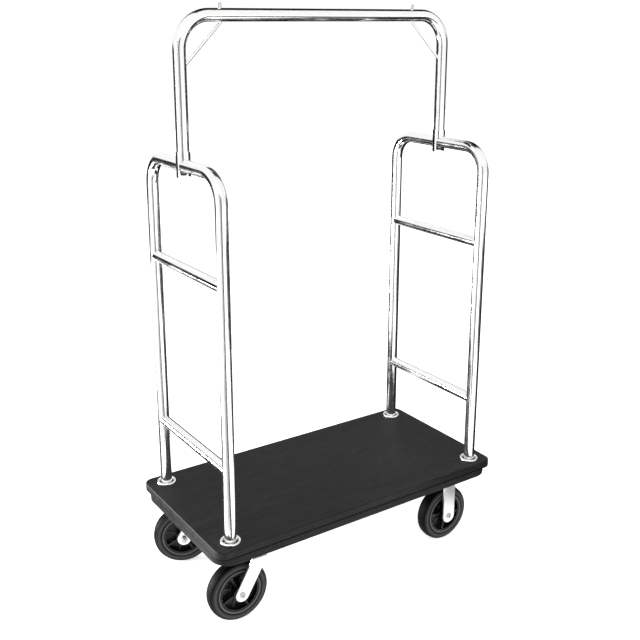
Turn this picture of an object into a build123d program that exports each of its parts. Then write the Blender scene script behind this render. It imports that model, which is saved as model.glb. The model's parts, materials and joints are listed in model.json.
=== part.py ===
from build123d import *
import os
from math import cos, radians, sin

# Hotel luggage cart, millimetres, +Z up.
# Origin: on the floor under the middle of the cart. +X runs along the deck towards the rigid casters,
# so the swivel casters are at the left (-X) end. -Y is the front, the long side a porter stands at.

# ---------------------------------------------------------------- driving dimensions
DECK_LENGTH = 1116
DECK_WIDTH = 558
DECK_TOP = 308  # height of the deck above the floor
DECK_BOARD = 27  # thickness of the upper, loaded board
DECK_CORNER = 32
BUMPER_BOARD = 29  # thickness of the lower board, whose edge takes the knocks
BUMPER_INSET = 4
BUMPER_CORNER = 62
EDGE_ROUND = 4
GROOVE = 3  # height of the recess that runs round the deck between the two boards
GROOVE_INSET = 6  # how far in it reaches from the lower board's side
GROOVE_ROUND = 1.5  # rounds the two edges beside it

TUBE = 38  # outer diameter of the frame and arch tube
TUBE_WALL = 1.5
FRAME_BEND = 84  # centreline radius of an end frame's bends
ARCH_BEND = 96  # centreline radius of the arch's bends
POST_X = 492
POST_Y = 227
RAIL_HEIGHT = 1124  # centreline of an end frame's top rail, above the deck
RUNG = 34
RUNG_WALL = 1.5
UPPER_RUNG_HEIGHT = 805
LOWER_RUNG_HEIGHT = 233.5
ARCH_HEIGHT = 1548  # centreline of the garment bar, above the deck

FLANGE_RADIUS = 33
FLANGE_HEIGHT = 7
FLANGE_SEAT = 1  # depth of the spot face that the post and its flange stand in
FLANGE_SIDE = 3  # height of the flange's upright outer side
FLANGE_COLLAR = 4  # height of its inner collar
FLANGE_CREST = 4  # how far in from its outer side the raised rim is highest
FLANGE_VALLEY = 9  # how far in the valley behind the rim is
FLANGE_VALLEY_HEIGHT = 4.5

CLAMP_LENGTH = 75
CLAMP_WALL = 2.5
CLAMP_BELOW_RAIL = 15.5  # how far the clamp's two tabs reach below the rail
ROD = 8
PEG_X = 358
PEG_RISE = 15  # height of the hanging peg above the garment bar
ROD_ELBOW = 3  # how far below the garment bar the rod bends
ROD_BEND = 6  # centreline radius of that bend

WHEEL_RADIUS = 101.6  # 8 inch wheel
WHEEL_WIDTH = 46
TREAD_SHOULDER = 12  # how far in from the side the tread starts to round off
TYRE_BORE = 69
SIDEWALL_GROOVE = 79  # radius at which the ring groove in the sidewall starts
GROOVE_DEPTH = 1.5
TREAD_CROWN = 1.5  # how much higher the tread is in the middle than at its shoulders
TYRE_LIP = 1  # chamfer at the tyre's bore
HUB_LENGTH = 69
HUB_BOSS = 26
HUB_WEB = 5
HUB_RIM = 6
RIBS = 4  # deep ribs to a hub, with as many low ones between them
DEEP_RIB = 6
LOW_RIB = 4
LOW_RIB_HEIGHT = 6  # from the middle of the hub
RIM_INSET = 2  # from the tyre's side to the rim's edge
AXLE = 12
BUSH = 17
FORK_GAP = 70
FORK_PLATE = 6
FORK_BEND = 8  # outer radius of the bend from leg to crown
RIGID_LEG = 51
RIGID_TIP = 25  # radius of the leg's round end about the axle
SWIVEL_LEG = 50
SWIVEL_TIP = 22.5
SWIVEL_SHIFT = 6  # the swivel fork's legs meet its crown this far beyond the kingpin
RIGID_X = 404.7
SWIVEL_X = -392.6
CASTER_Y = 187.5
TRAIL = 59
PLATE_LENGTH = 114
PLATE_WIDTH = 102
PLATE = 5
PLATE_CORNER = 10
PLATE_HOLES_X = 92
PLATE_HOLES_Y = 76

KINGPIN = 12
KINGPIN_HEAD = 24
KINGPIN_HEAD_HEIGHT = 5
CROWN_TOP = 219  # top of the swivel fork's crown
CROWN_RIM = 2  # how far the crown reaches beyond the race it carries
RACE_RADIUS = 24
RACE_BALL = 8
RACE_BALLS = 17
RACE_OUTER = 32

RUNNING = 0.05  # radial clearance of a pin that turns
GAP = 0.3  # clearance between pieces that move past each other
SLACK = 0.1  # radial clearance of a fixed piece in its hole

# ---------------------------------------------------------------- derived heights and sizes
BUMPER_TOP = DECK_TOP - DECK_BOARD
DECK_UNDERSIDE = BUMPER_TOP - BUMPER_BOARD
POST_FOOT = DECK_TOP - FLANGE_SEAT
RAIL = DECK_TOP + RAIL_HEIGHT
RAIL_TOP = RAIL + TUBE / 2
RAIL_BOTTOM = RAIL - TUBE / 2
GARMENT_BAR = DECK_TOP + ARCH_HEIGHT
TUBE_BORE = TUBE / 2 - TUBE_WALL
PLATE_BOTTOM = DECK_UNDERSIDE - PLATE
FORK_OUTER = FORK_GAP / 2 + FORK_PLATE
CROWN_BOTTOM = CROWN_TOP - FORK_PLATE
RACE_HEIGHT = 231  # plane of the ball centres
RACE_SPLIT = 1  # from the ball plane to each race's face

CLAMPS = [(-POST_X, 0), (POST_X, 0)]
POSTS = [(x, y) for x in (-POST_X, POST_X) for y in (-POST_Y, POST_Y)]
SCREWS = [(x, y) for x in (-330, -110, 110, 330) for y in (-100, 100)]
PLATE_CENTRES = [(x, y) for x in (SWIVEL_X, RIGID_X) for y in (-CASTER_Y, CASTER_Y)]
PLATE_HOLES = [
    (x + dx, y + dy)
    for x, y in PLATE_CENTRES
    for dx in (-PLATE_HOLES_X / 2, PLATE_HOLES_X / 2)
    for dy in (-PLATE_HOLES_Y / 2, PLATE_HOLES_Y / 2)
]

# ---------------------------------------------------------------- fasteners
M10 = 10
M10_ACROSS_FLATS = 17
M10_HEAD = 6.4
M10_CLEARANCE = 11
M12 = 12
M12_ACROSS_FLATS = 19
M12_HEAD = 7.5
M12_CLEARANCE = 13
AXLE_HEAD = 20
AXLE_HEAD_HEIGHT = 4
AXLE_HEAD_ROUND = 2
AXLE_SOCKET = 8
AXLE_SOCKET_DEPTH = 3
AXLE_NUT = 19
AXLE_NUT_HEIGHT = 10
AXLE_TAIL = 3  # how far the axle bolt's thread stands out of its nut
M8 = 8
M8_ACROSS_FLATS = 13
M8_HEAD = 5.3
M8_CLEARANCE = 9
TEE_NUT_BARREL = 11
TEE_NUT_FLANGE = 22
TEE_NUT_PLATE = 2
TEE_NUT_LENGTH = 18
WASHER = 3
WASHER_RADIUS = 19
CLAMP_WASHER = 2.5
CLAMP_WASHER_RADIUS = 12
PLUG_LENGTH = 30
SCREW = 5
SCREW_HEAD = 10
SCREW_LENGTH = 46
PILOT_SPARE = 1  # how much deeper the pilot hole is than the screw
THREAD_CHAMFER = 1

os.makedirs("parts", exist_ok=True)


def save(part, name):
    """Labels one finished piece and writes it to its own STEP file."""
    part.label = name
    export_step(part, f"parts/{name}.step")


# ================================================================ deck
def make_deck_board():
    """The upper board: spot faces and bolt holes for the posts, pilot holes for the screws below."""
    with BuildPart() as board:
        with BuildSketch(Plane.XY.offset(BUMPER_TOP)):
            RectangleRounded(DECK_LENGTH, DECK_WIDTH, DECK_CORNER)
        extrude(amount=DECK_BOARD)
        fillet(board.faces().sort_by(Axis.Z)[-1].edges(), EDGE_ROUND)
        fillet(board.faces().sort_by(Axis.Z)[0].edges(), GROOVE_ROUND)
        with BuildSketch(Plane.XY.offset(POST_FOOT)):
            with Locations(*POSTS):
                Circle(FLANGE_RADIUS + SLACK)
        extrude(amount=FLANGE_SEAT, mode=Mode.SUBTRACT)
        with BuildSketch(Plane.XY.offset(BUMPER_TOP)):
            with Locations(*POSTS):
                Circle(M10_CLEARANCE / 2)
        extrude(amount=DECK_BOARD, mode=Mode.SUBTRACT)
        with BuildSketch(Plane.XY.offset(BUMPER_TOP)):
            with Locations(*SCREWS):
                Circle(SCREW / 2 + SLACK)
        extrude(amount=SCREW_LENGTH - BUMPER_BOARD + PILOT_SPARE, mode=Mode.SUBTRACT)
    save(board.part, "deck_board")


def make_bumper_board():
    """The lower board: rounder corners, a recess round its top edge, and holes for the fasteners."""
    length = DECK_LENGTH - 2 * BUMPER_INSET
    width = DECK_WIDTH - 2 * BUMPER_INSET
    with BuildPart() as board:
        with BuildSketch(Plane.XY.offset(DECK_UNDERSIDE)):
            RectangleRounded(length, width, BUMPER_CORNER)
        extrude(amount=BUMPER_BOARD - GROOVE)
        fillet(board.faces().sort_by(Axis.Z)[-1].edges(), GROOVE_ROUND)
        fillet(board.faces().sort_by(Axis.Z)[0].edges(), EDGE_ROUND)
        with BuildSketch(Plane.XY.offset(BUMPER_TOP - GROOVE)):
            RectangleRounded(
                length - 2 * GROOVE_INSET, width - 2 * GROOVE_INSET, BUMPER_CORNER - GROOVE_INSET
            )
        extrude(amount=GROOVE)
        with BuildSketch(Plane.XY.offset(DECK_UNDERSIDE)):
            with Locations(*POSTS):
                Circle(M10_CLEARANCE / 2)
            with Locations(*PLATE_HOLES):
                Circle(TEE_NUT_BARREL / 2 + SLACK)
        extrude(amount=BUMPER_BOARD, mode=Mode.SUBTRACT)
        with BuildSketch(Plane.XY.offset(BUMPER_TOP - TEE_NUT_PLATE)):
            with Locations(*PLATE_HOLES):
                Circle(TEE_NUT_FLANGE / 2 + SLACK)
        extrude(amount=TEE_NUT_PLATE, mode=Mode.SUBTRACT)
        with Locations(*[Location((x, y, DECK_UNDERSIDE), (180, 0, 0)) for x, y in SCREWS]):
            CounterSinkHole(SCREW / 2 + SLACK, SCREW_HEAD / 2 + SLACK, BUMPER_BOARD)
    save(board.part, "deck_bumper_board")


def make_deck_screws():
    """Countersunk wood screws, driven from below, that hold the two boards together."""
    head = (SCREW_HEAD - SCREW) / 2
    with BuildPart() as screws:
        with BuildSketch(Plane.XZ) as half:
            with BuildLine():
                Polyline(
                    (0, 0),
                    (SCREW_HEAD / 2, 0),
                    (SCREW / 2, head),
                    (SCREW / 2, SCREW_LENGTH - 2 * SCREW),
                    (0, SCREW_LENGTH),
                    close=True,
                )
            make_face()
        with Locations(*[(x, y, DECK_UNDERSIDE) for x, y in SCREWS]):
            add(revolve(half.sketch, axis=Axis.Z, mode=Mode.PRIVATE))
    save(screws.part, "deck_screws")


# ================================================================ end frames
def make_end_frame(side, x):
    """One tube bent to an inverted U: two posts and a top rail, drilled for the clamp bolt."""
    with BuildPart() as frame:
        with BuildLine(Plane.YZ.offset(x)):
            FilletPolyline(
                (-POST_Y, POST_FOOT),
                (-POST_Y, RAIL),
                (POST_Y, RAIL),
                (POST_Y, POST_FOOT),
                radius=FRAME_BEND,
            )
        with BuildSketch(Plane.XY.offset(POST_FOOT)):
            with Locations((x, -POST_Y)):
                Circle(TUBE / 2)
                Circle(TUBE_BORE, mode=Mode.SUBTRACT)
        sweep()
        with BuildSketch(Plane.XY.offset(RAIL - TUBE)):
            with Locations((x, 0)):
                Circle(M12_CLEARANCE / 2)
        extrude(amount=2 * TUBE, mode=Mode.SUBTRACT)
    save(frame.part, f"{side}_end_frame")


def make_rung(name, x, height):
    """A straight tube across an end frame, its ends cut to the round of the posts it is welded to."""
    with BuildPart() as rung:
        with BuildSketch(Plane.XZ.offset(-POST_Y)):
            with Locations((x, DECK_TOP + height)):
                Circle(RUNG / 2)
                Circle(RUNG / 2 - RUNG_WALL, mode=Mode.SUBTRACT)
        extrude(amount=2 * POST_Y)
        with BuildSketch(Plane.XY.offset(DECK_TOP + height - RUNG)):
            with Locations((x, -POST_Y), (x, POST_Y)):
                Circle(TUBE / 2)
        extrude(amount=2 * RUNG, mode=Mode.SUBTRACT)
    save(rung.part, name)


def make_post_flange(name, x, y):
    """A dished ring round the foot of a post: a raised rim, a valley and a low collar."""
    bore = TUBE / 2 + SLACK
    with BuildPart() as flange:
        with BuildSketch(Plane(origin=(x, y, POST_FOOT), x_dir=(1, 0, 0), z_dir=(0, -1, 0))):
            with BuildLine():
                Polyline(
                    (bore, FLANGE_COLLAR),
                    (bore, 0),
                    (FLANGE_RADIUS, 0),
                    (FLANGE_RADIUS, FLANGE_SIDE),
                )
                Spline(
                    (FLANGE_RADIUS, FLANGE_SIDE),
                    (FLANGE_RADIUS - FLANGE_CREST, FLANGE_HEIGHT),
                    (FLANGE_RADIUS - FLANGE_VALLEY, FLANGE_VALLEY_HEIGHT),
                    (bore, FLANGE_COLLAR),
                    tangents=((0, 1), (-1, 0)),
                )
            make_face()
        revolve(axis=Axis((x, y, 0), (0, 0, 1)))
    save(flange.part, name)


def make_post_plugs():
    """Threaded plugs welded inside the feet of the four posts."""
    with BuildPart() as plugs:
        with BuildSketch(Plane.XY.offset(POST_FOOT)):
            with Locations(*POSTS):
                Circle(TUBE_BORE - SLACK)
                Circle(M10 / 2 + SLACK, mode=Mode.SUBTRACT)
        extrude(amount=PLUG_LENGTH)
    save(plugs.part, "post_plugs")


def make_post_washers():
    """Large washers under the deck, one to each post bolt."""
    with BuildPart() as washers:
        with BuildSketch(Plane.XY.offset(DECK_UNDERSIDE - WASHER)):
            with Locations(*POSTS):
                Circle(WASHER_RADIUS)
                Circle(M10_CLEARANCE / 2, mode=Mode.SUBTRACT)
        extrude(amount=WASHER)
    save(washers.part, "post_washers")


def make_hex_bolts(name, places, seat, diameter, across_flats, head, reach):
    """Hex bolts whose heads hang below the height seat and whose shanks rise by reach above it."""
    with BuildPart() as bolts:
        with BuildSketch(Plane.XY.offset(seat)):
            with Locations(*places):
                RegularPolygon(across_flats / 2, 6, major_radius=False)
        extrude(amount=-head)
        chamfer(bolts.faces().group_by(Axis.Z)[0].edges(), head / 6)
        with BuildSketch(Plane.XY.offset(seat)):
            with Locations(*places):
                Circle(diameter / 2)
        extrude(amount=reach)
        chamfer(bolts.faces().group_by(Axis.Z)[-1].edges(), THREAD_CHAMFER)
    save(bolts.part, name)


# ================================================================ garment arch
def make_garment_arch():
    """The removable hanging rail: one tube bent to an inverted U, drilled for the two peg rods."""
    with BuildPart() as arch:
        with BuildLine(Plane.XZ):
            FilletPolyline(
                (-POST_X, RAIL_TOP),
                (-POST_X, GARMENT_BAR),
                (POST_X, GARMENT_BAR),
                (POST_X, RAIL_TOP),
                radius=ARCH_BEND,
            )
        with BuildSketch(Plane.XY.offset(RAIL_TOP)):
            with Locations((-POST_X, 0)):
                Circle(TUBE / 2)
                Circle(TUBE_BORE, mode=Mode.SUBTRACT)
        sweep()
        with BuildSketch(Plane.XY.offset(GARMENT_BAR - TUBE)):
            with Locations((-PEG_X, 0), (PEG_X, 0)):
                Circle(ROD / 2 + SLACK)
        extrude(amount=2 * TUBE, mode=Mode.SUBTRACT)
    save(arch.part, "garment_arch")


def make_peg_rod(side, sign):
    """A bent rod: a peg above the garment bar, through it, then a brace down to the arch's leg."""
    bar_bottom = GARMENT_BAR - TUBE / 2
    peg_top = GARMENT_BAR + TUBE / 2 + PEG_RISE
    elbow = bar_bottom - ROD_ELBOW
    reach = POST_X - TUBE / 4 - PEG_X
    with BuildPart() as rod:
        with BuildLine(Plane(origin=(0, 0, 0), x_dir=(1, 0, 0), z_dir=(0, -1, 0))):
            FilletPolyline(
                (sign * PEG_X, peg_top),
                (sign * PEG_X, elbow),
                (sign * (PEG_X + reach), elbow - reach),
                radius=ROD_BEND,
            )
        with BuildSketch(Plane.XY.offset(peg_top)):
            with Locations((sign * PEG_X, 0)):
                Circle(ROD / 2)
        sweep()
        chamfer(rod.faces().sort_by(Axis.Z)[-1].edges(), ROD / 6)
        with BuildSketch(Plane.XY.offset(RAIL_TOP)):
            with Locations((sign * POST_X, 0)):
                Circle(TUBE / 2)
        extrude(amount=ARCH_HEIGHT - RAIL_HEIGHT, mode=Mode.SUBTRACT)
    save(rod.part, f"{side}_peg_rod")


def make_arch_clamp(side, x):
    """A sleeve round the foot of the arch's leg, notched to straddle the end frame's rail."""
    bore = TUBE / 2 + 2 * SLACK
    bottom = RAIL_BOTTOM - CLAMP_BELOW_RAIL
    with BuildPart() as clamp:
        with BuildSketch(Plane.XY.offset(bottom)):
            with Locations((x, 0)):
                Circle(bore + CLAMP_WALL)
                Circle(bore, mode=Mode.SUBTRACT)
        extrude(amount=CLAMP_LENGTH)
        with BuildSketch(Plane.XZ):
            with Locations((x, RAIL)):
                Circle(bore + SLACK)
            with Locations((x, (RAIL + bottom) / 2)):
                Rectangle(2 * (bore + SLACK), RAIL - bottom)
        extrude(amount=TUBE, both=True, mode=Mode.SUBTRACT)
    save(clamp.part, f"{side}_arch_clamp")


def make_arch_plugs():
    """Threaded plugs welded inside the two feet of the arch."""
    with BuildPart() as plugs:
        with BuildSketch(Plane.XY.offset(RAIL_TOP)):
            with Locations(*CLAMPS):
                Circle(TUBE_BORE - SLACK)
                Circle(M12 / 2 + SLACK, mode=Mode.SUBTRACT)
        extrude(amount=PLUG_LENGTH)
    save(plugs.part, "arch_plugs")


def make_clamp_washers():
    """Washers between the clamp bolts' heads and the rails."""
    with BuildPart() as washers:
        with BuildSketch(Plane.XY.offset(RAIL_BOTTOM - CLAMP_WASHER)):
            with Locations(*CLAMPS):
                Circle(CLAMP_WASHER_RADIUS)
                Circle(M12_CLEARANCE / 2, mode=Mode.SUBTRACT)
        extrude(amount=CLAMP_WASHER)
    save(washers.part, "clamp_washers")


# ================================================================ casters
def make_tee_nuts():
    """Tee nuts sunk in the lower board's top face: the caster bolts' threads."""
    with BuildPart() as nuts:
        with BuildSketch(Plane.XY.offset(BUMPER_TOP - TEE_NUT_PLATE)):
            with Locations(*PLATE_HOLES):
                Circle(TEE_NUT_FLANGE / 2)
        extrude(amount=TEE_NUT_PLATE)
        with BuildSketch(Plane.XY.offset(BUMPER_TOP - TEE_NUT_LENGTH)):
            with Locations(*PLATE_HOLES):
                Circle(TEE_NUT_BARREL / 2)
        extrude(amount=TEE_NUT_LENGTH)
        with BuildSketch(Plane.XY.offset(BUMPER_TOP - TEE_NUT_LENGTH)):
            with Locations(*PLATE_HOLES):
                Circle(M8 / 2 + SLACK)
        extrude(amount=TEE_NUT_LENGTH, mode=Mode.SUBTRACT)
    save(nuts.part, "caster_tee_nuts")


def make_top_plate(corner, x, y, swivels):
    """The plate bolted under the deck. A swivel caster's has the upper ball race below it."""
    with BuildPart() as plate:
        with BuildSketch(Plane.XY.offset(PLATE_BOTTOM)):
            with Locations((x, y)):
                RectangleRounded(PLATE_LENGTH, PLATE_WIDTH, PLATE_CORNER)
                with GridLocations(PLATE_HOLES_X, PLATE_HOLES_Y, 2, 2):
                    Circle(M8_CLEARANCE / 2, mode=Mode.SUBTRACT)
        extrude(amount=PLATE)
        if swivels:
            race_face = RACE_HEIGHT + RACE_SPLIT
            with BuildSketch(Plane.XY.offset(race_face)):
                with Locations((x, y)):
                    Circle(RACE_OUTER)
            extrude(amount=PLATE_BOTTOM - race_face)
            with BuildSketch(Plane(origin=(x, y, RACE_HEIGHT), x_dir=(1, 0, 0), z_dir=(0, -1, 0))):
                with Locations((RACE_RADIUS, 0)):
                    Circle(RACE_BALL / 2 + RUNNING)
            revolve(axis=Axis((x, y, 0), (0, 0, 1)), mode=Mode.SUBTRACT)
            with BuildSketch(Plane.XY.offset(race_face)):
                with Locations((x, y)):
                    Circle(KINGPIN / 2)
            extrude(amount=DECK_UNDERSIDE - race_face, mode=Mode.SUBTRACT)
    save(plate.part, f"{corner}_top_plate")


def make_race_balls(corner, x, y):
    """The ring of balls that the swivel fork turns under."""
    with BuildPart() as balls:
        with Locations((x, y, RACE_HEIGHT)):
            with PolarLocations(RACE_RADIUS, RACE_BALLS):
                Sphere(RACE_BALL / 2)
    save(balls.part, f"{corner}_race_balls")


def make_kingpin(corner, x, y):
    """The pin riveted into the top plate, with the head that carries the fork's crown."""
    seat = CROWN_BOTTOM - GAP
    with BuildPart() as pin:
        with BuildSketch(Plane.XY.offset(seat)):
            with Locations((x, y)):
                Circle(KINGPIN_HEAD / 2)
        extrude(amount=-KINGPIN_HEAD_HEIGHT)
        chamfer(pin.faces().sort_by(Axis.Z)[0].edges(), KINGPIN_HEAD_HEIGHT / 4)
        with BuildSketch(Plane.XY.offset(seat)):
            with Locations((x, y)):
                Circle(KINGPIN / 2)
        extrude(amount=DECK_UNDERSIDE - seat)
    save(pin.part, f"{corner}_kingpin")


def fork_section(across, height, drop):
    """The U that a fork shows along the wheel: two legs and a crown, over the axle at the origin."""
    with BuildSketch(across) as section:
        with Locations((0, (height - drop) / 2)):
            Rectangle(2 * FORK_OUTER, height + drop)
        fillet(section.vertices().group_by(Axis.Y)[-1], FORK_BEND)
        with Locations((0, (height - drop - FORK_PLATE) / 2)):
            Rectangle(FORK_GAP, height + drop - FORK_PLATE, mode=Mode.SUBTRACT)
    return section.sketch


def fork_outline(side, height, tip, width, shift):
    """The shape of a fork seen from the side: a round tip at the axle, widening to the crown."""
    with BuildSketch(side) as outline:
        Circle(tip)
        with Locations((shift, height - FORK_PLATE / 2)):
            Rectangle(width, FORK_PLATE)
        make_hull()
    return outline.sketch


def make_rigid_fork(corner, side, across):
    """A straight U of steel plate astride the wheel, welded by its crown under the top plate."""
    height = PLATE_BOTTOM - WHEEL_RADIUS
    with BuildPart() as fork:
        extrude(fork_section(across, height, RIGID_TIP), amount=RIGID_LEG, both=True)
        outline = fork_outline(side, height, RIGID_TIP, RIGID_LEG, 0)
        extrude(outline, amount=FORK_OUTER, both=True, mode=Mode.INTERSECT)
        with BuildSketch(side):
            Circle(AXLE / 2 + SLACK)
        extrude(amount=FORK_OUTER, both=True, mode=Mode.SUBTRACT)
    save(fork.part, f"{corner}_fork")


def make_swivel_fork(corner, side, across, x, y):
    """A raked U astride the wheel. Its crown turns about the kingpin and carries the lower race."""
    height = CROWN_TOP - WHEEL_RADIUS
    kingpin = side.to_local_coords(Vector(x, y, WHEEL_RADIUS)).X
    shift = kingpin * (TRAIL + SWIVEL_SHIFT) / TRAIL
    race_face = RACE_HEIGHT - RACE_SPLIT
    with BuildPart() as fork:
        extrude(fork_section(across, height, SWIVEL_TIP), amount=2 * SWIVEL_LEG, both=True)
        outline = fork_outline(side, height, SWIVEL_TIP, SWIVEL_LEG, shift)
        extrude(outline, amount=FORK_OUTER, both=True, mode=Mode.INTERSECT)
        with BuildSketch(Plane.XY.offset(CROWN_BOTTOM)):
            with Locations((x, y)):
                Circle(RACE_OUTER + CROWN_RIM)
        extrude(amount=FORK_PLATE)
        with BuildSketch(Plane.XY.offset(CROWN_TOP)):
            with Locations((x, y)):
                Circle(RACE_OUTER)
        extrude(amount=race_face - CROWN_TOP)
        with BuildSketch(Plane(origin=(x, y, RACE_HEIGHT), x_dir=(1, 0, 0), z_dir=(0, -1, 0))):
            with Locations((RACE_RADIUS, 0)):
                Circle(RACE_BALL / 2 + GAP)
        revolve(axis=Axis((x, y, 0), (0, 0, 1)), mode=Mode.SUBTRACT)
        with BuildSketch(Plane.XY.offset(CROWN_BOTTOM)):
            with Locations((x, y)):
                Circle(KINGPIN / 2 + RUNNING)
        extrude(amount=race_face - CROWN_BOTTOM, mode=Mode.SUBTRACT)
        with BuildSketch(side):
            Circle(AXLE / 2 + SLACK)
        extrude(amount=FORK_OUTER, both=True, mode=Mode.SUBTRACT)
    save(fork.part, f"{corner}_fork")


def make_axle_bolt(corner, side):
    """The axle: a low round head with a hex socket on the outside of the fork, and its shank."""
    with BuildPart() as bolt:
        with BuildSketch(side.offset(FORK_OUTER)):
            Circle(AXLE_HEAD / 2)
        extrude(amount=AXLE_HEAD_HEIGHT)
        fillet(bolt.faces().sort_by(Axis(side.origin, side.z_dir))[-1].edges(), AXLE_HEAD_ROUND)
        with BuildSketch(side.offset(FORK_OUTER + AXLE_HEAD_HEIGHT)):
            RegularPolygon(AXLE_SOCKET / 2, 6, major_radius=False)
        extrude(amount=-AXLE_SOCKET_DEPTH, mode=Mode.SUBTRACT)
        with BuildSketch(side.offset(FORK_OUTER)):
            Circle(AXLE / 2)
        extrude(amount=-2 * FORK_OUTER - AXLE_NUT_HEIGHT - AXLE_TAIL)
        chamfer(bolt.faces().sort_by(Axis(side.origin, side.z_dir))[0].edges(), THREAD_CHAMFER)
    save(bolt.part, f"{corner}_axle_bolt")


def make_axle_nut(corner, side):
    """The lock nut on the inner end of the axle bolt."""
    with BuildPart() as nut:
        with BuildSketch(side.offset(-FORK_OUTER)):
            RegularPolygon(AXLE_NUT / 2, 6, major_radius=False)
        extrude(amount=-AXLE_NUT_HEIGHT)
        chamfer(nut.faces().sort_by(Axis(side.origin, side.z_dir))[0].edges(), THREAD_CHAMFER)
        with BuildSketch(side.offset(-FORK_OUTER)):
            Circle(AXLE / 2 + SLACK)
        extrude(amount=-AXLE_NUT_HEIGHT, mode=Mode.SUBTRACT)
    save(nut.part, f"{corner}_axle_nut")


def make_wheel_bush(corner, side):
    """The steel sleeve clamped between the fork legs, which the hub turns on."""
    with BuildPart() as bush:
        with BuildSketch(side):
            Circle(BUSH / 2)
            Circle(AXLE / 2 + SLACK, mode=Mode.SUBTRACT)
        extrude(amount=FORK_GAP / 2, both=True)
    save(bush.part, f"{corner}_wheel_bush")


def make_hub(corner, side, phase):
    """The moulded hub: boss, thin web, deep ribs with low ones between, and rim."""
    rim_inside = TYRE_BORE - HUB_RIM
    rim_half = WHEEL_WIDTH / 2 - RIM_INSET
    rib_middle = (HUB_BOSS + rim_inside) / 2
    rib_length = rim_inside - HUB_BOSS + HUB_RIM
    with BuildPart() as hub:
        with BuildSketch(side):
            Circle(TYRE_BORE)
            Circle(rim_inside, mode=Mode.SUBTRACT)
        extrude(amount=rim_half, both=True)
        with BuildSketch(side):
            Circle(HUB_BOSS)
        extrude(amount=HUB_LENGTH / 2, both=True)
        with BuildSketch(side):
            Circle(rim_inside + HUB_RIM / 2)
        extrude(amount=HUB_WEB / 2, both=True)
        with BuildSketch(side):
            with PolarLocations(rib_middle, RIBS, start_angle=phase):
                Rectangle(rib_length, DEEP_RIB)
        extrude(amount=rim_half - DEEP_RIB / 2, both=True)
        with BuildSketch(side):
            with PolarLocations(rib_middle, RIBS, start_angle=phase + 180 / RIBS):
                Rectangle(rib_length, LOW_RIB)
        extrude(amount=LOW_RIB_HEIGHT, both=True)
        with BuildSketch(side):
            Circle(BUSH / 2 + RUNNING)
        extrude(amount=HUB_LENGTH / 2, both=True, mode=Mode.SUBTRACT)
    save(hub.part, f"{corner}_wheel_hub")


def make_tyre(corner, across):
    """The rubber tyre: crowned tread, round shoulders, and a ring groove in each sidewall."""
    half = WHEEL_WIDTH / 2
    floor = half - GROOVE_DEPTH
    tread_edge = WHEEL_RADIUS - TREAD_CROWN
    with BuildPart() as tyre:
        with BuildSketch(across):
            with BuildLine():
                Polyline(
                    (0, TYRE_BORE),
                    (half - TYRE_LIP, TYRE_BORE),
                    (half, TYRE_BORE + TYRE_LIP),
                    (half, SIDEWALL_GROOVE),
                    (floor, SIDEWALL_GROOVE + GROOVE_DEPTH),
                    (floor, SIDEWALL_GROOVE + 2 * GROOVE_DEPTH),
                    (half, SIDEWALL_GROOVE + 3 * GROOVE_DEPTH),
                    (half, tread_edge - TREAD_SHOULDER),
                )
                RadiusArc(
                    (half, tread_edge - TREAD_SHOULDER),
                    (half - TREAD_SHOULDER, tread_edge),
                    -TREAD_SHOULDER,
                )
                ThreePointArc(
                    (half - TREAD_SHOULDER, tread_edge),
                    (0, WHEEL_RADIUS),
                    (TREAD_SHOULDER - half, tread_edge),
                )
                RadiusArc(
                    (TREAD_SHOULDER - half, tread_edge),
                    (-half, tread_edge - TREAD_SHOULDER),
                    -TREAD_SHOULDER,
                )
                Polyline(
                    (-half, tread_edge - TREAD_SHOULDER),
                    (-half, SIDEWALL_GROOVE + 3 * GROOVE_DEPTH),
                    (-floor, SIDEWALL_GROOVE + 2 * GROOVE_DEPTH),
                    (-floor, SIDEWALL_GROOVE + GROOVE_DEPTH),
                    (-half, SIDEWALL_GROOVE),
                    (-half, TYRE_BORE + TYRE_LIP),
                    (TYRE_LIP - half, TYRE_BORE),
                    (0, TYRE_BORE),
                )
            make_face()
        revolve(axis=Axis(across.origin, across.x_dir))
    save(tyre.part, f"{corner}_tyre")


def make_wheel_and_axle(corner, side, across, phase):
    make_axle_bolt(corner, side)
    make_axle_nut(corner, side)
    make_wheel_bush(corner, side)
    make_hub(corner, side, phase)
    make_tyre(corner, across)


def wheel_planes(x, y, yaw, outward):
    """The plane of a wheel, facing outward, and the plane across it through the axle."""
    along = Vector(cos(radians(yaw)), sin(radians(yaw)), 0)
    axle = Vector(-along.Y, along.X, 0)
    centre = Vector(x, y, WHEEL_RADIUS)
    if outward < 0:
        side = Plane(origin=centre, x_dir=along, z_dir=-axle)
    else:
        side = Plane(origin=centre, x_dir=-along, z_dir=axle)
    return side, Plane(origin=centre, x_dir=axle, z_dir=along)


def make_swivel_caster(corner, y, yaw, phase):
    """A caster whose wheel trails behind the kingpin, turned by yaw about it."""
    along = Vector(cos(radians(yaw)), sin(radians(yaw)), 0)
    axle = Vector(SWIVEL_X, y, 0) - along * TRAIL
    side, across = wheel_planes(axle.X, axle.Y, yaw, y)
    make_top_plate(corner, SWIVEL_X, y, True)
    make_race_balls(corner, SWIVEL_X, y)
    make_kingpin(corner, SWIVEL_X, y)
    make_swivel_fork(corner, side, across, SWIVEL_X, y)
    make_wheel_and_axle(corner, side, across, phase)


def make_rigid_caster(corner, y, phase):
    """A caster whose fork is welded straight to its top plate."""
    side, across = wheel_planes(RIGID_X, y, 0, y)
    make_top_plate(corner, RIGID_X, y, False)
    make_rigid_fork(corner, side, across)
    make_wheel_and_axle(corner, side, across, phase)


# ================================================================ the cart
make_deck_board()
make_bumper_board()
make_deck_screws()

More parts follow.
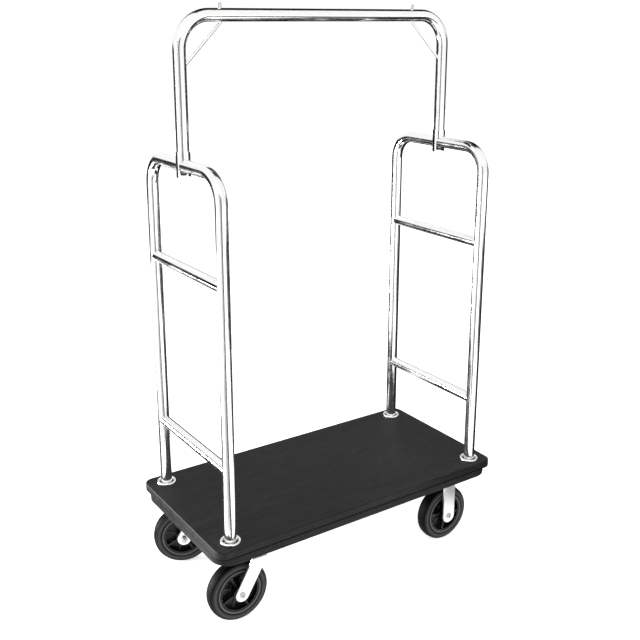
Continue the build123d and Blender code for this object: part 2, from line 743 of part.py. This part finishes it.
for side, x in (("left", -POST_X), ("right", POST_X)):
    make_end_frame(side, x)
    make_rung(f"{side}_upper_rung", x, UPPER_RUNG_HEIGHT)
    make_rung(f"{side}_lower_rung", x, LOWER_RUNG_HEIGHT)
    make_arch_clamp(side, x)
    for end, y in (("front", -POST_Y), ("back", POST_Y)):
        make_post_flange(f"{end}_{side}_post_flange", x, y)
make_post_plugs()
make_post_washers()
make_hex_bolts(
    "post_bolts",
    POSTS,
    DECK_UNDERSIDE - WASHER,
    M10,
    M10_ACROSS_FLATS,
    M10_HEAD,
    POST_FOOT + PLUG_LENGTH - DECK_UNDERSIDE,
)

make_garment_arch()
make_peg_rod("left", -1)
make_peg_rod("right", 1)
make_arch_plugs()
make_clamp_washers()
make_hex_bolts(
    "clamp_bolts",
    CLAMPS,
    RAIL_BOTTOM - CLAMP_WASHER,
    M12,
    M12_ACROSS_FLATS,
    M12_HEAD,
    TUBE + CLAMP_WASHER + PLUG_LENGTH,
)

make_tee_nuts()
make_hex_bolts(
    "caster_bolts",
    PLATE_HOLES,
    PLATE_BOTTOM,
    M8,
    M8_ACROSS_FLATS,
    M8_HEAD,
    BUMPER_TOP - PLATE_BOTTOM,
)
make_swivel_caster("front_left", -CASTER_Y, -2.7, 27)
make_swivel_caster("back_left", CASTER_Y, -20.5, 60)
make_rigid_caster("front_right", -CASTER_Y, 82)
make_rigid_caster("back_right", CASTER_Y, 15)
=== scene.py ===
import json
import math

import bmesh
import bpy
from mathutils import Matrix, Vector


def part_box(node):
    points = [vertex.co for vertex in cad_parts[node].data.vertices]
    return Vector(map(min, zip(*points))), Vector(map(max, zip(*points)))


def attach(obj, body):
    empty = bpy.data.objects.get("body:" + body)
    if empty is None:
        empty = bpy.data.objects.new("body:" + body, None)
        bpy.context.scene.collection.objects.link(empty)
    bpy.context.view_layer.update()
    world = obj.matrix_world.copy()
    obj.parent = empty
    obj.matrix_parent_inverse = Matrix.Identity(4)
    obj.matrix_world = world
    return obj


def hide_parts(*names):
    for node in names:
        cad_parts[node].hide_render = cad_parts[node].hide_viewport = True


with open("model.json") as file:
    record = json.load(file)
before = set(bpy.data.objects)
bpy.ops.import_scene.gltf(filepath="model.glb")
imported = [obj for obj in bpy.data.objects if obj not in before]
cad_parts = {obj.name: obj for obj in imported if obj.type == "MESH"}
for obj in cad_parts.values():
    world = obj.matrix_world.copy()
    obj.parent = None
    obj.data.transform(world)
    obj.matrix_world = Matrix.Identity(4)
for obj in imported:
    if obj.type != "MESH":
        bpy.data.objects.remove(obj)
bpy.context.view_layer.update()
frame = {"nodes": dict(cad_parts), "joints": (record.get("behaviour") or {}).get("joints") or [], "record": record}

NODES = frame["nodes"]
CORNERS = ("front_left", "front_right", "back_left", "back_right")

# Camera: where it stands (metres), which way it looks (degrees) and its lens.
CAMERA_PLACE = (-1.6623, -2.4302, 1.8496)
CAMERA_YAW = 34.23  # to the right of +Y
CAMERA_PITCH = 15.70  # below the horizon
CAMERA_ROLL = -0.11
CAMERA_LENS = 51.63
CAMERA_SHIFT = -0.07

# Light tent (metres, and degrees off the camera's side of the cart)
WORLD_STRENGTH = 1.05
FLOOR_HALF = 12
FLOOR_GLOW = 0.6
FOOT_RISE = 0.003  # how high the darkest card on the floor lies
FOOT_STEP = 0.002  # how much lower a white one would lie
CAMERA_SIDE = math.degrees(math.atan2(CAMERA_PLACE[1], CAMERA_PLACE[0]))
CARD_RADIUS = 2.7
CARD_HEIGHT = 2.6
WALL_RADIUS = 6.0
ARC_STEPS = 12
SHEET_HEIGHT = 4.4  # top of the sheet behind the garment bar
SHEET_LEFT = -0.5
SHEET_RIGHT = 3.4

# Deck (metres)
RECESS_SHADE = 0.003  # how far the painted shade of the recess reaches above and below the deck board's underside
RECESS_FADE = 0.0006

# Tyres: half their width (metres), and the tone of the sidewall at shares of the tyre's radius; the paler rings
# are partly a painted sheen
TYRE_HALF_WIDTH = 0.023
TYRE_RINGS = (
    (0.68, 0.10), (0.715, 0.11), (0.73, 0.012), (0.77, 0.008), (0.80, 0.052),
    (0.87, 0.055), (0.89, 0.018), (0.925, 0.026), (0.955, 0.001),
)

# Post flanges (metres)
FLANGE_BORE = 0.0191
FLANGE_EDGE = 0.0006  # bevel at the foot of the outer side
FLANGE_FLOOR = 0.0035  # width of the flat floor round the bore
VALLEY_SHADE_FULL = 0.0009  # the painted shade in the valley is darkest up to this height above the foot
VALLEY_SHADE_END = 0.0022
FLANGE_RIM = 0.0042  # half the width of the raised rim
FLANGE_SHOULDER = 0.0024  # height at which the rim starts to round
FLANGE_VALLEY = 0.0008  # height of the floor between the rim and the post
FLANGE_STEPS = 14
LATHE_STEPS = 112


# ---------------------------------------------------------------- camera and light tent
def place_camera():
    """The camera, aimed by yaw, pitch and roll."""
    yaw, pitch = math.radians(CAMERA_YAW), math.radians(CAMERA_PITCH)
    look = Vector((math.sin(yaw) * math.cos(pitch), math.cos(yaw) * math.cos(pitch), -math.sin(pitch)))
    data = bpy.data.cameras.new("camera")
    data.sensor_width = 36
    data.lens = CAMERA_LENS
    data.shift_y = CAMERA_SHIFT
    data.clip_end = 50
    camera = bpy.data.objects.new("camera", data)
    bpy.context.scene.collection.objects.link(camera)
    aim = look.to_track_quat("-Z", "Y").to_matrix().to_4x4()
    roll = Matrix.Rotation(math.radians(-CAMERA_ROLL), 4, "Z")
    camera.matrix_world = Matrix.Translation(CAMERA_PLACE) @ aim @ roll
    bpy.context.scene.camera = camera


def mesh_object(name, build):
    """A new object whose mesh the function build makes in a bmesh."""
    mesh = bpy.data.meshes.new(name)
    made = bmesh.new()
    build(made)
    made.to_mesh(mesh)
    made.free()
    piece = bpy.data.objects.new(name, mesh)
    bpy.context.scene.collection.objects.link(piece)
    return piece


def strip(name, path, offset):
    """A sheet that joins each point of path to the point that is offset from it."""
    def build(made):
        low = [made.verts.new(p) for p in path]
        high = [made.verts.new(Vector(p) + Vector(offset)) for p in path]
        for i in range(len(path) - 1):
            made.faces.new((low[i], low[i + 1], high[i + 1], high[i]))
    return mesh_object(name, build)


def only_reflected(card, material):
    """The card shows in polished surfaces, and neither to the camera nor as a shadow."""
    card.data.materials.append(material)
    card.visible_camera = False
    card.visible_diffuse = False
    card.visible_shadow = False
    card.visible_transmission = False


def arc(radius, start, end, height):
    """Points round the cart at that radius, from start to end degrees off the camera's side."""
    step = (end - start) / ARC_STEPS
    angles = [math.radians(CAMERA_SIDE + start + step * i) for i in range(ARC_STEPS + 1)]
    return [(radius * math.cos(a), radius * math.sin(a), height) for a in angles]


def flat_material(name, tone):
    """A plain matt grey for the floor and cards, which aren't part of the cart."""
    material = bpy.data.materials.new(name)
    material.use_nodes = True
    shader = material.node_tree.nodes["Principled BSDF"]
    shader.inputs["Base Color"].default_value = (tone, tone, tone, 1)
    shader.inputs["Roughness"].default_value = 1.0
    shader.inputs["Specular IOR Level"].default_value = 0
    return material


def add_card(name, start, end, low, high, tone, radius=CARD_RADIUS, foot=None):
    """A standing card, from low to high above the floor. foot is the radius its foot reaches in to."""
    card = strip(name, arc(radius, start, end, low), (0, 0, high - low))
    only_reflected(card, flat_material(name, tone))
    if foot is not None:
        add_floor_sector(f"{name}_foot", start, end, foot, radius, tone)


def add_floor_sector(name, start, end, near_radius, far_radius, tone):
    """A card on the floor, between two angles and two radii. Darker ones lie on top of lighter ones."""
    height = FOOT_RISE - FOOT_STEP * tone

    def build(made):
        near = [made.verts.new(p) for p in arc(near_radius, start, end, height)]
        far = [made.verts.new(p) for p in arc(far_radius, start, end, height)]
        for i in range(len(near) - 1):
            made.faces.new((near[i], far[i], far[i + 1], near[i + 1]))
    only_reflected(mesh_object(name, build), flat_material(name, tone))


def add_upright_card(name, extent, y, tone):
    """A card that stands along the cart at that y. extent is its (low x, low z, high x, high z)."""
    path = [(extent[0], y, extent[1]), (extent[2], y, extent[1])]
    only_reflected(strip(name, path, (0, 0, extent[3] - extent[1])), flat_material(name, tone))


def add_softbox(name, place, target, size, power):
    """A rectangular soft light that faces the target."""
    data = bpy.data.lights.new(name, "AREA")
    data.shape = "RECTANGLE"
    data.size, data.size_y = size
    data.energy = power
    lamp = bpy.data.objects.new(name, data)
    bpy.context.scene.collection.objects.link(lamp)
    lamp.location = place
    lamp.visible_camera = False
    lamp.rotation_euler = (Vector(target) - lamp.location).to_track_quat("-Z", "Y").to_euler()


def make_light_tent():
    """A pale floor, white all round, and the dark cards that draw the edges of polished metal."""
    world = bpy.data.worlds.new("tent")
    bpy.context.scene.world = world
    world.use_nodes = True
    background = world.node_tree.nodes["Background"]
    background.inputs["Color"].default_value = (1, 1, 1, 1)
    background.inputs["Strength"].default_value = WORLD_STRENGTH

    corners = [(-FLOOR_HALF, -FLOOR_HALF, 0), (FLOOR_HALF, -FLOOR_HALF, 0)]
    floor = strip("floor", corners, (0, 2 * FLOOR_HALF, 0))
    paper = flat_material("floor_paper", 0.92)
    shader = paper.node_tree.nodes["Principled BSDF"]
    shader.inputs["Emission Color"].default_value = (1, 1, 1, 1)
    shader.inputs["Emission Strength"].default_value = FLOOR_GLOW
    floor.data.materials.append(paper)

    # Behind the cart: a low dark wall, dark floor in front of it, and a dark sheet behind the garment bar.
    add_card("wall", 96, 272, 0, 2.1, 0.006, radius=WALL_RADIUS)
    add_card("wall_soft", 89, 279, 0, 2.2, 0.22, radius=WALL_RADIUS + 0.1)
    add_floor_sector("floor_back", 82, 281, 0.8, WALL_RADIUS, 0.008)
    add_floor_sector("floor_back_soft", 76, 287, 0.75, WALL_RADIUS, 0.25)
    add_floor_sector("floor_bar", 58, 76, 2.5, 5.5, 0.05)
    add_upright_card("sheet_back", (SHEET_LEFT, 1.9, SHEET_RIGHT, SHEET_HEIGHT), 0.4, 0.01)
    front_edge = [(SHEET_LEFT, -0.25, SHEET_HEIGHT), (SHEET_RIGHT, -0.25, SHEET_HEIGHT)]
    only_reflected(strip("sheet_top", front_edge, (0, 0.65, 0)), flat_material("sheet_top", 0.02))

    # On the camera's side: its own dark stripe, and grey to the left of it.
    add_card("card_camera", -11, 8, 0, CARD_HEIGHT, 0.07, foot=0.85)
    add_card("card_left_near", -32, -11, 0, CARD_HEIGHT, 0.42, foot=1.1)
    add_card("card_left_far", -80, -32, 0, CARD_HEIGHT, 0.74, foot=1.4)

    add_softbox("key", (-2.0, -2.2, 3.2), (0, 0, 0.5), (2.4, 1.6), 35)
    add_softbox("rim", (-1.95, 1.3, 0.3), (-0.56, 0, 0.28), (1.3, 0.35), 110)


# ---------------------------------------------------------------- material building
class Finish:
    """A procedural material in the making: its node tree, its shader and its texture position."""

    def __init__(self, name, **constants):
        self.material = bpy.data.materials.new(name)
        self.material.use_nodes = True
        self.tree = self.material.node_tree
        self.shader = self.tree.nodes["Principled BSDF"]
        for socket, value in constants.items():
            self.shader.inputs[socket.replace("_", " ")].default_value = value
        self.place = self.node("ShaderNodeTexCoord").outputs["Object"]

    def node(self, kind, inputs=None, **settings):
        made = self.tree.nodes.new(kind)
        for key, value in settings.items():
            setattr(made, key, value)
        for key, value in (inputs or {}).items():
            if isinstance(value, bpy.types.NodeSocket):
                self.tree.links.new(value, made.inputs[key])
            else:
                made.inputs[key].default_value = value
        return made

    def maths(self, operation, *values):
        return self.node("ShaderNodeMath", dict(enumerate(values)), operation=operation).outputs[0]

    def stretched(self, scale):
        """The texture position, multiplied axis by axis."""
        return self.node("ShaderNodeMapping", {"Vector": self.place, "Scale": scale}).outputs[0]

    def noise(self, scale, detail, rough=0.5, place=None, distortion=0.0):
        inputs = {"Vector": place or self.place, "Scale": scale, "Detail": detail}
        inputs.update({"Roughness": rough, "Distortion": distortion})
        return self.node("ShaderNodeTexNoise", inputs).outputs["Fac"]

    def spread(self, value, low, high, to_low, to_high):
        """value, remapped from low..high to to_low..to_high and clamped."""
        inputs = {"Value": value, "From Min": low, "From Max": high, "To Min": to_low, "To Max": to_high}
        return self.node("ShaderNodeMapRange", inputs).outputs[0]

    def mix(self, factor, a, b):
        node = self.node("ShaderNodeMix", {"Factor": factor}, data_type="RGBA")
        for socket, value in (("A_Color", a), ("B_Color", b)):
            target = next(s for s in node.inputs if s.identifier == socket)
            if isinstance(value, bpy.types.NodeSocket):
                self.tree.links.new(value, target)
            else:
                target.default_value = (*value, 1)
        return next(s for s in node.outputs if s.identifier == "Result_Color")

    def edges(self, radius):
        """1 along convex and concave edges within that distance, 0 on open faces."""
        round_normal = self.node("ShaderNodeBevel", {"Radius": radius}, samples=4).outputs[0]
        flat_normal = self.node("ShaderNodeNewGeometry").outputs["Normal"]
        inputs = {0: round_normal, 1: flat_normal}
        same = self.node("ShaderNodeVectorMath", inputs, operation="DOT_PRODUCT").outputs["Value"]
        return self.spread(same, 0.99, 0.85, 0.0, 1.0)

    def bump(self, height, distance, strength, onto=None):
        inputs = {"Height": height, "Distance": distance, "Strength": strength}
        if onto is not None:
            inputs["Normal"] = onto
        return self.node("ShaderNodeBump", inputs).outputs[0]

    def set(self, **links):
        for socket, value in links.items():
            self.tree.links.new(value, self.shader.inputs[socket.replace("_", " ")])
        return self.material


def grey(value):
    return (value, value, value)


# ---------------------------------------------------------------- the finishes
def polished_steel(name, tint, roughness, lines, wave=0.15, shade_foot=None):
    """Mirror-polished steel: wipe marks, hairline scratches at the scale lines and a slow ripple. The last
    argument is the height of the foot, if any, and painted shade darkens the steel just above it."""
    f = Finish(name, Metallic=1.0)
    smudge = f.noise(14, detail=4, rough=0.6)
    hairline = f.noise(3, detail=6, rough=0.7, place=f.stretched(lines), distortion=0.4)
    fine = f.noise(900, detail=2)
    rough = f.maths("ADD", f.spread(smudge, 0.35, 0.75, roughness, roughness * 2.4),
                    f.spread(hairline, 0.55, 0.75, 0.0, 0.05))
    colour = f.mix(f.spread(smudge, 0.3, 0.8, 0.0, 1.0), tint, tuple(c * 0.93 for c in tint))
    if shade_foot is not None:
        # Painted shade: the steel just above the foot, in the valley round the post, is painted near black.
        height = f.node("ShaderNodeSeparateXYZ", {0: f.place}).outputs["Z"]
        valley_shade = f.spread(height, shade_foot + VALLEY_SHADE_FULL, shade_foot + VALLEY_SHADE_END, 1.0, 0.0)
        colour = f.mix(valley_shade, colour, grey(0.01))
    ripple = f.bump(f.noise(9, detail=1), 0.0006, wave)
    scratch = f.maths("ADD", hairline, f.maths("MULTIPLY", fine, 0.3))
    normal = f.bump(scratch, 0.00002, 1.4 * wave, onto=ripple)
    return f.set(Base_Color=colour, Roughness=rough, Normal=normal)


def zinc_plate(name, tint, roughness):
    """Bright zinc on sheet steel: a soft mottle, fine pits and duller, worn edges."""
    f = Finish(name, Metallic=1.0)
    mottle = f.node("ShaderNodeTexVoronoi", {"Vector": f.place, "Scale": 130.0}).outputs["Color"]
    cell = f.node("ShaderNodeRGBToBW", {0: mottle}).outputs[0]
    cloud = f.noise(38, detail=5, rough=0.6)
    edge = f.edges(0.0012)
    spangle = f.spread(f.maths("MULTIPLY", cell, cloud), 0.1, 0.5, 0.0, 1.0)
    tone = f.mix(spangle, tint, tuple(c * 0.94 for c in tint))
    colour = f.mix(f.maths("MULTIPLY", edge, 0.4), tone, tuple(c * 0.72 for c in tint))
    dull = f.spread(cloud, 0.3, 0.7, roughness, roughness + 0.12)
    rough = f.maths("ADD", dull, f.maths("MULTIPLY", edge, 0.08))
    normal = f.bump(f.noise(420, detail=3), 0.00004, 0.4)
    return f.set(Base_Color=colour, Roughness=rough, Normal=normal)


def machined_steel(name, tint, roughness, worn):
    """Turned or rolled fastener steel: fine tool marks and edges rubbed towards the tone worn."""
    f = Finish(name, Metallic=0.9)
    marks = f.noise(5, detail=4, rough=0.7, place=f.stretched((60, 60, 900)))
    blotch = f.noise(160, detail=4)
    edge = f.edges(0.0008)
    tone = f.mix(f.spread(blotch, 0.3, 0.75, 0.0, 1.0), grey(tint), grey(tint * 0.75))
    colour = f.mix(f.maths("MULTIPLY", edge, f.spread(blotch, 0.35, 0.6, 0.2, 0.9)), tone, grey(worn))
    rough = f.spread(marks, 0.3, 0.7, roughness, roughness + 0.16)
    return f.set(Base_Color=colour, Roughness=rough, Normal=f.bump(marks, 0.00004, 0.5))


def wood_laminate(name, dark, light, groove):
    """Black laminate, embossed with a fine grain along the cart. groove is the height of the deck board's
    underside, and painted shade darkens the laminate just above and below it, as in the recess."""
    f = Finish(name, IOR=1.36, Specular_IOR_Level=0.2)
    axes = f.node("ShaderNodeSeparateXYZ", {0: f.place}).outputs
    sway = f.noise(2.3, detail=2, place=f.stretched((1, 2.2, 1)))
    swayed = f.maths("ADD", axes["Y"], f.maths("MULTIPLY", sway, 0.05))
    grain_place = f.node("ShaderNodeCombineXYZ", {0: axes["X"], 1: swayed, 2: axes["Z"]}).outputs[0]

    def streaks(scale, detail, rough):
        place = f.node("ShaderNodeMapping", {"Vector": grain_place, "Scale": scale}).outputs[0]
        return f.noise(1, detail=detail, rough=rough, place=place, distortion=0.25)
    band = streaks((2.2, 34, 34), 4, 0.55)
    pore = streaks((26, 330, 330), 5, 0.72)
    line = f.spread(pore, 0.52, 0.66, 0.0, 1.0)
    patch = f.spread(f.noise(3.1, detail=3), 0.35, 0.65, 0.25, 1.0)
    figure = f.maths("MULTIPLY", line, patch)
    tone = f.mix(f.spread(band, 0.3, 0.7, 0.0, 1.0), grey(dark), grey(0.6 * dark + 0.4 * light))
    # Lighter edges: partly wear, partly a painted highlight along the boards' rounded edges.
    edge = f.maths("MULTIPLY", f.edges(0.0016), f.spread(f.noise(60, detail=4), 0.35, 0.65, 0.35, 1.0))
    grained = f.mix(figure, tone, grey(light))
    worn = f.mix(f.maths("MULTIPLY", edge, 0.5), grained, grey(2.6 * light))
    # Painted shade: the laminate just above and below the deck board's underside is painted near black and made
    # rougher, standing in for the recess's shade.
    from_groove = f.maths("ABSOLUTE", f.maths("SUBTRACT", axes["Z"], groove))
    painted_recess_shade = f.spread(from_groove, RECESS_SHADE, RECESS_SHADE + RECESS_FADE, 1.0, 0.0)
    colour = f.mix(painted_recess_shade, worn, grey(0.0004))
    scuff = f.spread(f.noise(26, detail=6, rough=0.7), 0.52, 0.8, 0.0, 0.12)
    matt = f.maths("ADD", scuff, f.maths("MULTIPLY", painted_recess_shade, 0.4))
    rough = f.maths("ADD", f.spread(band, 0.3, 0.7, 0.42, 0.54), matt)
    height = f.maths("ADD", f.maths("MULTIPLY", pore, -0.8), f.maths("MULTIPLY", band, 0.5))
    return f.set(Base_Color=colour, Roughness=rough, Normal=f.bump(height, 0.0004, 0.5))


def moulded_nylon(name):
    """Black moulded nylon: a fine grain, soft sink marks and a painted highlight along the edges."""
    f = Finish(name, Specular_IOR_Level=0.2)
    cloud = f.noise(45, detail=4)
    grain = f.noise(1500, detail=2)
    edge = f.edges(0.0012)
    # Painted highlight: the edges are painted pale grey.
    colour = f.mix(f.maths("MULTIPLY", edge, 0.6), f.mix(cloud, grey(0.001), grey(0.002)), grey(0.3))
    rough = f.spread(cloud, 0.3, 0.7, 0.26, 0.4)
    normal = f.bump(grain, 0.00003, 0.35, onto=f.bump(f.noise(25, detail=1), 0.0004, 0.3))
    return f.set(Base_Color=colour, Roughness=rough, Normal=normal)


def wheel_rubber(name, centre, axle, radius):
    """Black rubber: dark tread with fine wear across it, and a sidewall of paler and darker rings, the paler ones
    partly a painted sheen.
    """
    f = Finish(name, IOR=1.22, Specular_IOR_Level=0.18)
    inputs = {0: f.place, 1: centre}
    local = f.node("ShaderNodeVectorMath", inputs, operation="SUBTRACT").outputs["Vector"]
    inputs = {0: local, 1: axle}
    along = f.node("ShaderNodeVectorMath", inputs, operation="DOT_PRODUCT").outputs["Value"]
    length = f.node("ShaderNodeVectorMath", {0: local}, operation="LENGTH").outputs["Value"]
    aside = f.maths("ABSOLUTE", along)
    square = f.maths("SUBTRACT", f.maths("POWER", length, 2.0), f.maths("POWER", aside, 2.0))
    out = f.maths("DIVIDE", f.maths("SQRT", f.maths("MAXIMUM", square, 0.0)), radius)
    # The sidewall's rings: the rubber's own tones, with the paler ones lifted as a painted sheen.
    tones = f.node("ShaderNodeValToRGB", {0: out})
    ramp = tones.color_ramp
    ramp.elements[0].position, ramp.elements[0].color = 0.0, (*grey(0.03), 1)
    ramp.elements[1].position, ramp.elements[1].color = 1.0, (*grey(0.0015), 1)
    for position, tone in TYRE_RINGS:
        stop = ramp.elements.new(position)
        stop.color = (*grey(tone), 1)
    dust = f.noise(55, detail=5, rough=0.65)
    colour = f.mix(f.spread(dust, 0.5, 0.85, 0.0, 0.3), tones.outputs[0], grey(0.012))
    lap = f.maths("SINE", f.maths("MULTIPLY", out, 900.0))
    side = f.spread(aside, TYRE_HALF_WIDTH * 0.8, TYRE_HALF_WIDTH * 0.95, 0.0, 1.0)
    laps = f.maths("MULTIPLY", f.maths("MULTIPLY", lap, side), 0.25)
    height = f.maths("ADD", laps, f.noise(700, detail=3))
    rough = f.spread(dust, 0.3, 0.7, 0.45, 0.62)
    return f.set(Base_Color=colour, Roughness=rough, Normal=f.bump(height, 0.00012, 0.5))


def repaint(node, material):
    """Gives a CAD node the material in every slot."""
    slots = NODES[node].data.materials
    for i in range(len(slots)):
        slots[i] = material
    if not slots:
        slots.append(material)


def paint_cart():
    """Every CAD node but the tyres gets the finish of its material slot. Returns the finishes by slot."""
    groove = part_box("deck_board")[0].z
    flange_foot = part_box("front_left_post_flange")[0].z
    finishes = {
        "deck_laminate": wood_laminate("deck_laminate", 0.004, 0.034, groove),
        "bumper_laminate": wood_laminate("bumper_laminate", 0.004, 0.028, groove),
        "polished_tube": polished_steel("polished_tube", (0.93, 0.93, 0.92), 0.1, (40, 40, 6)),
        "polished_rod": polished_steel("polished_rod", (0.88, 0.88, 0.875), 0.07, (60, 60, 60)),
        "polished_clamp": polished_steel("polished_clamp", (0.90, 0.90, 0.895), 0.05, (60, 60, 20)),
        "polished_flange": polished_steel(
            "polished_flange", (0.96, 0.96, 0.955), 0.14, (90, 90, 90), wave=0.06, shade_foot=flange_foot
        ),
        "bright_zinc_plate": zinc_plate("bright_zinc_plate", (0.84, 0.845, 0.85), 0.3),
        "zinc_fastener": machined_steel("zinc_fastener", 0.5, 0.2, 0.8),
        "dark_fastener": machined_steel("dark_fastener", 0.05, 0.32, 0.3),
        "inner_steel": machined_steel("inner_steel", 0.5, 0.3, 0.6),
        "hub_plastic": moulded_nylon("hub_plastic"),
    }
    for part in frame["record"]["subparts"]:
        if part["material_slot"] in finishes:
            repaint(part["node"], finishes[part["material_slot"]])
    return finishes


def wheel_facts(corner):
    """(centre, axle direction, tyre radius) of a wheel, from its spin joint and its tyre's box."""
    joint = next(j for j in frame["joints"] if j["name"] == f"{corner}_wheel_spin")
    low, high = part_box(f"{corner}_tyre")
    return (low + high) / 2, Vector(joint["axis"]).normalized(), (high.z - low.z) / 2


def paint_tyres():
    for corner in CORNERS:
        centre, axle, radius = wheel_facts(corner)
        repaint(f"{corner}_tyre", wheel_rubber(f"{corner}_rubber", centre, axle, radius))


def lathe(name, profile, foot):
    """A closed ring whose section is profile, a loop of (radius, height) about the upright axis at foot."""
    def build(made):
        rings = []
        for i in range(LATHE_STEPS):
            turn = 2 * math.pi * i / LATHE_STEPS
            across = Vector((math.cos(turn), math.sin(turn), 0))
            rings.append([made.verts.new(Vector(foot) + across * r + Vector((0, 0, h))) for r, h in profile])
        for i, ring in enumerate(rings):
            after = rings[(i + 1) % LATHE_STEPS]
            for j in range(len(profile)):
                k = (j + 1) % len(profile)
                face = made.faces.new((ring[j], after[j], after[k], ring[k]))
                face.smooth = True
        bmesh.ops.recalc_face_normals(made, faces=made.faces)
    return mesh_object(name, build)


def flange_profile(radius, height):
    """The flange's section: a flat foot, a rounded rim and a low floor round the post."""
    profile = [(FLANGE_BORE, 0.0), (radius - FLANGE_EDGE, 0.0), (radius, FLANGE_EDGE)]
    for i in range(FLANGE_STEPS + 1):
        turn = math.pi * i / FLANGE_STEPS
        profile.append((radius - FLANGE_RIM * (1 - math.cos(turn)),
                        FLANGE_SHOULDER + (height - FLANGE_SHOULDER) * math.sin(turn)))
    return profile + [(FLANGE_BORE + FLANGE_FLOOR, FLANGE_VALLEY), (FLANGE_BORE, FLANGE_VALLEY)]


def make_flanges(finish):
    """Smooth dished rings round the feet of the four posts, in place of the CAD's faceted ones."""
    for corner in CORNERS:
        node = f"{corner}_post_flange"
        low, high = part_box(node)
        centre = (low + high) / 2
        profile = flange_profile((high.x - low.x) / 2, high.z - low.z)
        piece = lathe(f"{node}_ring", profile, (centre.x, centre.y, low.z))
        piece.data.materials.append(finish)
        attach(piece, "cart")
        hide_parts(node)


place_camera()
make_light_tent()
finishes = paint_cart()
paint_tyres()
make_flanges(finishes["polished_flange"])
bpy.context.scene.view_settings.view_transform = "Standard"
